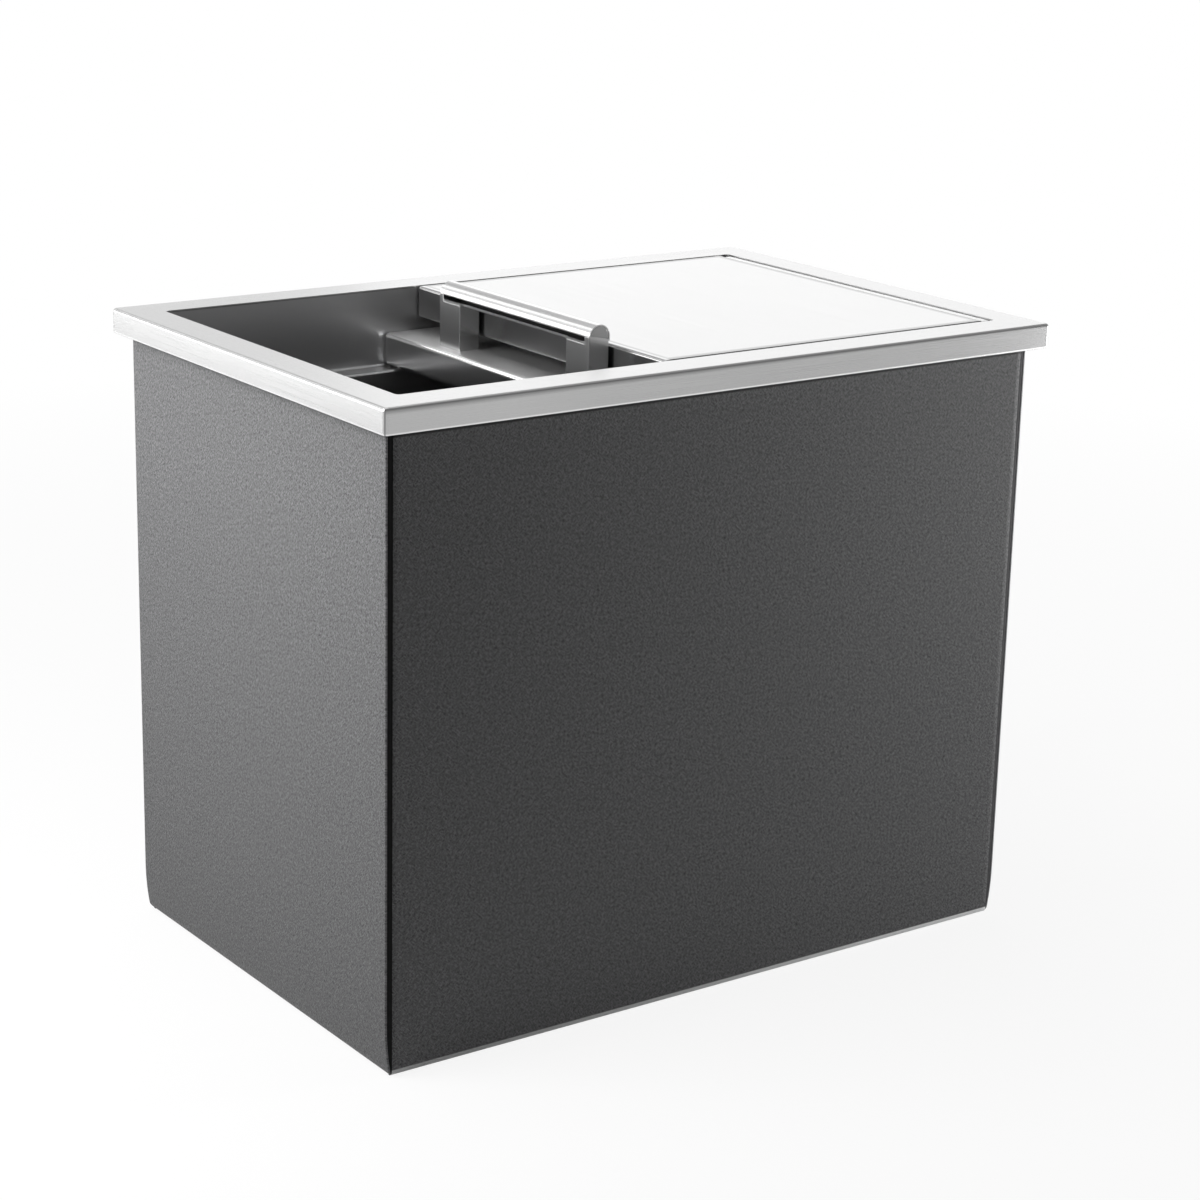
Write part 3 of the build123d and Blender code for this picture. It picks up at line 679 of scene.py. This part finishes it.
def coverSheet(cover, shared):
    low, high = boxOf(cover["node"])
    bm = blockMesh(low, high)
    roundOff(bm, edgesAlong(bm, "z"), cover["corner"], shared["steps"])
    roundOff(bm, edgesAt(bm, "z", high.z), cover["bend"], 6)
    roundOff(bm, edgesAt(bm, "z", low.z), cover["foot"], 6)
    dropFaces(bm, "z", low.z)
    middle = (low + high) / 2
    half = (high - low) / 2
    inner = ringLine(half.x - shared["return"], half.y - shared["return"], 1.0, shared["steps"], low.z,
                     (middle.x, middle.y))
    bm = together(bm, inner)
    bridged(bm, low.z)
    faceTowards(bm, (middle.x, middle.y, high.z), (0, 0, 1))
    return finished(bm, cover["name"], cover["body"], "cover_steel", [cover["node"]], wall=shared["sheet"],
                    finish=cover.get("finish"))


# Narrow lip along the far end of the lift-off cover, a little lower than its top
endLip = {"drop": 0.8, "sheet": 0.9, "reach": 6.2, "short": 3.2, "tuck": 0.6}


def coverEndLip(lip):
    low, high = boxOf("top_cover_shell")
    bm = blockMesh((high.x - lip["tuck"], low.y + lip["short"], high.z - lip["drop"] - lip["sheet"]),
                   (high.x + lip["reach"], high.y - lip["short"], high.z - lip["drop"]))
    bmesh.ops.recalc_face_normals(bm, faces=bm.faces)
    # the lip takes the slide cover's lighter steel, a painted lit copy of the cover's steel
    return finished(bm, "topCoverEndLip", "top_cover", "cover_steel", [], edge=0.35, finish="slideSteel")


# Grab handle: arched grip with let-in end caps, a rail under it, and two posts with cheeks
gripPiece = {"front": -49.9, "back": -36.0, "margin": 0.8, "capGap": 0.25, "capSheet": 1.0, "steps": 16,
             "frontRise": 5.1, "backRise": 2.3, "edge": 0.25, "clear": 0.03}


def rimTop():
    return boxOf("rim_frame")[1].z


def gripSlope(grip):
    return (grip["frontRise"] - grip["backRise"]) / (grip["back"] - grip["front"])


def gripFoot(grip, x):
    return rimTop() + grip["backRise"] + gripSlope(grip) * (grip["back"] - x)


def archBar(grip, yLow, yHigh, inset=0.0):
    top = boxOf("handle_grip")[1].z - grip["clear"]
    low = (grip["front"] + inset, yLow, rimTop())
    high = (grip["back"] - inset, yHigh, top - inset)
    bm = blockMesh(low, high)
    upper = [e for e in edgesAlong(bm, "y") if e.verts[0].co.z > high[2] - 0.01]
    roundOff(bm, upper, (high[0] - low[0]) / 2 - 0.001, grip["steps"])
    bmesh.ops.remove_doubles(bm, verts=bm.verts, dist=0.01)
    cut = bmesh.ops.bisect_plane(bm, geom=bm.verts[:] + bm.edges[:] + bm.faces[:], clear_outer=True,
                                 plane_co=(high[0], 0, gripFoot(grip, high[0]) + inset),
                                 plane_no=(-gripSlope(grip), 0, -1))
    bmesh.ops.contextual_create(bm, geom=[g for g in cut["geom_cut"] if isinstance(g, bmesh.types.BMEdge)])
    bmesh.ops.remove_doubles(bm, verts=bm.verts, dist=0.02)
    return bm


def gripBar(grip):
    low, high = boxOf("handle_grip")
    bm = archBar(grip, low.y, high.y)
    ends = [f for f in bm.faces if abs(f.normal.y) > 0.9]
    bmesh.ops.inset_region(bm, faces=ends, thickness=grip["margin"], use_even_offset=True, use_boundary=True)
    for end in [f for f in bm.faces if abs(f.normal.y) > 0.9 and f.calc_area() > 40]:
        sign = 1 if end.calc_center_median().y > 0 else -1
        pushed = bmesh.ops.extrude_face_region(bm, geom=[end])
        bmesh.ops.translate(bm, vec=(0, -sign * grip["capSheet"], 0),
                            verts=[g for g in pushed["geom"] if isinstance(g, bmesh.types.BMVert)])
        if end.is_valid:
            bmesh.ops.delete(bm, geom=[end], context="FACES_ONLY")
    bmesh.ops.recalc_face_normals(bm, faces=bm.faces)
    return finished(bm, "gripBar", "slide_cover", "handle_steel", ["handle_grip"], edge=grip["edge"],
                    sharp=30)


def gripCaps(grip):
    low, high = boxOf("handle_grip")
    inset = grip["margin"] + grip["capGap"]
    caps = together(archBar(grip, low.y, low.y + grip["capSheet"], inset),
                    archBar(grip, high.y - grip["capSheet"], high.y, inset))
    bmesh.ops.recalc_face_normals(caps, faces=caps.faces)
    return finished(caps, "gripCaps", "slide_cover", "handle_steel", ["handle_end_caps"], edge=0.15, sharp=30,
                    finish="capSteel")


postPiece = {"edge": 0.6, "cheek": 4.0, "rise": 0.9}


def handlePost(post, side):
    node = "handle_post_near" if side < 0 else "handle_post_far"
    low, high = boxOf(node)
    bm = blockMesh(low, (high.x, high.y, rimTop() + post["rise"]))
    roundOff(bm, edgesAlong(bm, "z"), post["edge"], 3)
    outer = high.y if side > 0 else low.y
    bisected(bm, "y", outer - side * post["cheek"])
    inner = abs(outer) - post["cheek"]
    strip = [f for f in bm.faces if f.normal.z > 0.9 and abs(f.calc_center_median().y) > inner]
    raised = bmesh.ops.extrude_face_region(bm, geom=strip)
    for vert in [g for g in raised["geom"] if isinstance(g, bmesh.types.BMVert)]:
        vert.co.z = gripFoot(gripPiece, vert.co.x)
    bmesh.ops.delete(bm, geom=[f for f in strip if f.is_valid], context="FACES_ONLY")
    bmesh.ops.recalc_face_normals(bm, faces=bm.faces)
    name = "handlePostNear" if side < 0 else "handlePostFar"
    return finished(bm, name, "slide_cover", "handle_steel", [node], edge=0.15, sharp=40)


# Turned drain pieces: an outline of radius and height, spun round the drain's axis
turnSteps = 72


def turned(outline, closed):
    bm = bmesh.new()
    x, y = tubPiece["drainPlace"]
    points = [bm.verts.new((x + radius, y, z)) for radius, z in outline]
    pairs = list(zip(points, points[1:])) + ([(points[-1], points[0])] if closed else [])
    for pair in pairs:
        bm.edges.new(pair)
    bmesh.ops.spin(bm, geom=bm.verts[:] + bm.edges[:], cent=(x, y, 0), axis=(0, 0, 1), angle=radians(360),
                   steps=turnSteps, use_merge=True)
    bmesh.ops.remove_doubles(bm, verts=bm.verts, dist=0.0005)
    bmesh.ops.recalc_face_normals(bm, faces=bm.faces)
    return bm


drainPiece = {"bore": 11.0, "hose": 15.0, "barb": 0.6, "barbs": 3, "thread": 16.6, "flange": 24.0,
              "flangeSheet": 2.0, "seat": 15.0, "seatDepth": 6.0, "crown": 0.9, "slope": 3.0,
              "edge": 0.35}


def drainTurning(drain):
    low, high = boxOf("drain_body")
    shoulder = boxOf("drain_locknut")[0].z - 1.0
    step = (shoulder - low.z) / drain["barbs"]
    outline = [(drain["bore"], low.z)]
    for i in range(drain["barbs"]):
        outline.append((drain["hose"] - drain["barb"], low.z + i * step))
        outline.append((drain["hose"], low.z + (i + 0.8) * step))
    under = high.z - drain["flangeSheet"]
    seatFloor = high.z - drain["seatDepth"]
    outline += [(drain["hose"] - drain["barb"], shoulder), (drain["thread"], shoulder),
                (drain["thread"], under), (drain["flange"], under),
                (drain["flange"], high.z - drain["crown"]), (drain["flange"] - drain["slope"], high.z),
                (drain["seat"], high.z), (drain["seat"], seatFloor), (drain["bore"], seatFloor)]
    return finished(turned(outline, True), "drainTurning", "bin", "drain_steel", ["drain_body"],
                    edge=drain["edge"], sharp=25)


plugPiece = {"foot": 14.65, "footTaper": 0.8, "lip": 19.5, "lipSheet": 3.0, "reach": 4.7, "socket": 3.3,
             "socketDepth": 4.5, "edge": 0.7}


def plugRubber(plug):
    low, high = boxOf("drain_plug")
    lipLow = high.z - plug["lipSheet"]
    floor = high.z - plug["socketDepth"]
    outline = [(0, low.z), (plug["foot"] - plug["footTaper"], low.z), (plug["foot"], lipLow),
               (plug["lip"], lipLow), (plug["lip"], high.z), (plug["socket"], high.z),
               (plug["socket"], floor), (0, floor)]
    return finished(turned(outline, False), "plugRubber", "plug", "drain_rubber", ["drain_plug"],
                    edge=plug["edge"], sharp=25)


knobPiece = {"stem": 3.2, "head": 7.5, "headSheet": 4.0, "dome": 0.8, "waist": 5.2, "waistRise": 1.6,
             "crownShare": 0.6, "crownDrop": 0.15, "edge": 0.5}


def plugKnob(knob):
    low, high = boxOf("plug_knob")
    headLow = high.z - knob["headSheet"]
    outline = [(0, low.z), (knob["stem"], low.z), (knob["stem"], headLow - knob["waistRise"]),
               (knob["waist"], headLow), (knob["head"], headLow), (knob["head"], high.z - knob["dome"]),
               (knob["head"] * knob["crownShare"], high.z - knob["crownDrop"]), (0, high.z)]
    return finished(turned(outline, False), "plugKnob", "plug", frameSlot("plug_knob"), ["plug_knob"],
                    edge=knob["edge"], sharp=25)


# Small fittings: the CAD node's own mesh with its edges rolled
rolledEdges = {"handle_rail": 0.2, "cover_lugs": 0.3, "drain_locknut": 0.5, "drain_washer": 0.4,
               "drain_strainer": 0.2, "drain_gasket": 0.3, "handle_backing_plate": 0.4, "handle_bolts": 0.3,
               "top_cover_base": 0.2, "slide_cover_base": 0.2, "top_cover_pads": 0.25,
               "slide_cover_glides": 0.25, "drain_cup": 0.2}


def rolled(node, edge):
    bm = bmesh.new()
    bm.from_mesh(nodes[node].data)
    bmesh.ops.scale(bm, vec=(1 / mm, 1 / mm, 1 / mm), verts=bm.verts)
    bmesh.ops.remove_doubles(bm, verts=bm.verts, dist=0.001)
    bmesh.ops.dissolve_limit(bm, angle_limit=radians(1), verts=bm.verts, edges=bm.edges)
    words = node.split("_")
    name = words[0] + "".join(word.capitalize() for word in words[1:])
    finish = "railSteel" if node == "handle_rail" else None
    return finished(bm, name, body_of(nodes[node])[0], frameSlot(node), [node], edge=edge, sharp=35,
                    finish=finish)


rimSheet(rimPiece)
tubPressing(tubPiece)
casingWrap(casingPiece)
casingEnd(casingPiece, -1)
casingEnd(casingPiece, 1)
seamBead(casingPiece, -1)
seamBead(casingPiece, 1)
foamBlock(casingPiece)
print("ice bin: rim, tub and casing made")
coverSheet(coverPieces["top"], coverPieces)
coverSheet(coverPieces["slide"], coverPieces)
coverEndLip(endLip)
gripBar(gripPiece)
gripCaps(gripPiece)
handlePost(postPiece, -1)
handlePost(postPiece, 1)
print("ice bin: covers and handle made")
drainTurning(drainPiece)
plugRubber(plugPiece)
plugKnob(knobPiece)
for node, edge in rolledEdges.items():
    rolled(node, edge)
print("ice bin: drain and small fittings made")


# Camera at the photograph's place
cameraView = {"azimuth": 35.621, "elevation": 16.464, "roll": 1.310,
              "place": (-0.96273, -1.36681, 0.69439), "lens": 87.18}


def aimCamera(view):
    az, el, roll = (radians(view[k]) for k in ("azimuth", "elevation", "roll"))
    forward = Vector((sin(az) * cos(el), cos(az) * cos(el), -sin(el)))
    right = Vector((cos(az), -sin(az), 0))
    up = right.cross(forward)
    across = cos(roll) * right + sin(roll) * up
    above = cos(roll) * up - sin(roll) * right
    turn = Matrix((across, above, -forward)).transposed().to_4x4()
    lens = bpy.data.cameras.new("photoCamera")
    lens.lens = view["lens"]
    lens.sensor_width = 36
    lens.clip_end = 50
    camera = bpy.data.objects.new("photoCamera", lens)
    camera.matrix_world = Matrix.Translation(view["place"]) @ turn
    bpy.context.scene.collection.objects.link(camera)
    bpy.context.scene.camera = camera


aimCamera(cameraView)


# Floor, world and lamps: the floor glows white far off, and less near the bin, so that it keeps the shadow
stageLook = {"cardHeight": 3.0, "cardHalf": 5.0, "cardGlow": 0.12, "cardSeen": 0.33, "floorSize": 12,
             "floorColour": (0.86, 0.86, 0.86), "nearGlow": 0.88, "glowReach": (0.45, 1.6),
             "worldLight": 0.04}


def seenDirectly(tree):
    path = tree.nodes.new("ShaderNodeLightPath")
    seen = maths(tree, "ADD", path.outputs["Is Camera Ray"], path.outputs["Is Glossy Ray"])
    return maths(tree, "MINIMUM", maths(tree, "ADD", seen, path.outputs["Is Transmission Ray"]), 1.0)


def paleFloor(look):
    bm = bmesh.new()
    bmesh.ops.create_grid(bm, x_segments=1, y_segments=1, size=look["floorSize"])
    mesh = bpy.data.meshes.new("paleFloor")
    bm.to_mesh(mesh)
    bm.free()
    floor = bpy.data.objects.new("paleFloor", mesh)
    bpy.context.scene.collection.objects.link(floor)
    paint = bpy.data.materials.new("floorPaint")
    paint.use_nodes = True
    tree = paint.node_tree
    tree.nodes.clear()
    out = tree.nodes.new("ShaderNodeOutputMaterial")
    matt = tree.nodes.new("ShaderNodeBsdfDiffuse")
    matt.inputs["Color"].default_value = (*look["floorColour"], 1)
    glow = tree.nodes.new("ShaderNodeEmission")
    glow.inputs["Color"].default_value = (1, 1, 1, 1)
    glow.inputs["Strength"].default_value = 1
    away = tree.nodes.new("ShaderNodeVectorMath")
    away.operation = "LENGTH"
    tree.links.new(mapped(tree, (1, 1, 1)), away.inputs[0])
    share = ranged(tree, away.outputs["Value"], look["nearGlow"], 1, *look["glowReach"])
    both = tree.nodes.new("ShaderNodeMixShader")
    tree.links.new(times(tree, seenDirectly(tree), share), both.inputs["Fac"])
    tree.links.new(matt.outputs[0], both.inputs[1])
    tree.links.new(glow.outputs[0], both.inputs[2])
    tree.links.new(both.outputs[0], out.inputs[0])
    mesh.materials.append(paint)


# Dark card high over the stage, which draws the folds of the steel
def ceilingCard(look):
    bm = bmesh.new()
    bmesh.ops.create_grid(bm, x_segments=1, y_segments=1, size=look["cardHalf"])
    bmesh.ops.translate(bm, vec=(0, 0, look["cardHeight"]), verts=bm.verts)
    mesh = bpy.data.meshes.new("ceilingCard")
    bm.to_mesh(mesh)
    bm.free()
    card = bpy.data.objects.new("ceilingCard", mesh)
    bpy.context.scene.collection.objects.link(card)
    paint, tree, shader = nodeSet("ceilingPaint")
    shader.inputs["Base Color"].default_value = (0, 0, 0, 1)
    shader.inputs["Emission Color"].default_value = (1, 1, 1, 1)
    seen = maths(tree, "MULTIPLY", seenDirectly(tree), look["cardSeen"])
    tree.links.new(maths(tree, "ADD", seen, look["cardGlow"]), shader.inputs["Emission Strength"])
    mesh.materials.append(paint)


def paleWorld(look):
    world = bpy.data.worlds.new("paleWorld")
    bpy.context.scene.world = world
    world.use_nodes = True
    tree = world.node_tree
    tree.nodes.clear()
    out = tree.nodes.new("ShaderNodeOutputWorld")
    light = tree.nodes.new("ShaderNodeBackground")
    light.inputs["Strength"].default_value = look["worldLight"]
    light.inputs["Color"].default_value = (1, 1, 1, 1)
    seen = tree.nodes.new("ShaderNodeBackground")
    seen.inputs["Color"].default_value = (1, 1, 1, 1)
    seen.inputs["Strength"].default_value = 1
    both = tree.nodes.new("ShaderNodeMixShader")
    tree.links.new(seenDirectly(tree), both.inputs["Fac"])
    tree.links.new(light.outputs[0], both.inputs[1])
    tree.links.new(seen.outputs[0], both.inputs[2])
    tree.links.new(both.outputs[0], out.inputs[0])


lamps = {
    "leftWindow": {"place": (-1.3, 1.1, 0.45), "aim": (-0.2, 0, 0.3), "size": (1.0, 0.7), "power": 9.5},
    "leftClose": {"place": (-0.80, 0.1, 0.70), "aim": (-0.2, 0, 0.27), "size": (0.5, 0.5), "power": 8.2},
    "backHigh": {"place": (-0.55, 1.5, 1.35), "aim": (0, 0, 0.37), "size": (0.4, 0.5), "power": 1.2},
    "overhead": {"place": (-0.1, 0.5, 1.8), "aim": (-0.1, 0, 0.35), "size": (1.6, 1.6), "power": 8.5},
    "backSoft": {"place": (1.4, 1.5, 1.1), "aim": (0.1, 0, 0.37), "size": (1.2, 1.2), "power": 3.6},
    "backMiddle": {"place": (0.4, 2.0, 1.0), "aim": (0.1, 0, 0.37), "size": (1.2, 1.0), "power": 1.0},
    "rightSoft": {"place": (1.4, -0.46, 0.10), "aim": (0.2, -0.14, 0.08), "size": (0.4, 0.8), "power": 12.0},
    "rightClose": {"place": (0.8, -0.45, 0.22), "aim": (0.2, -0.14, 0.2), "size": (0.25, 0.5), "power": 2.6},
}


def hangLamps(lamps):
    for name, lamp in lamps.items():
        data = bpy.data.lights.new(name, "AREA")
        data.shape = "RECTANGLE"
        data.size, data.size_y = lamp["size"]
        data.energy = lamp["power"]
        holder = bpy.data.objects.new(name, data)
        holder.location = lamp["place"]
        way = Vector(lamp["aim"]) - Vector(lamp["place"])
        holder.rotation_euler = way.to_track_quat("-Z", "Y").to_euler()
        bpy.context.scene.collection.objects.link(holder)


paleFloor(stageLook)
ceilingCard(stageLook)
paleWorld(stageLook)
hangLamps(lamps)
bpy.context.scene.view_settings.view_transform = "Standard"
print("ice bin: camera, floor and lamps set")
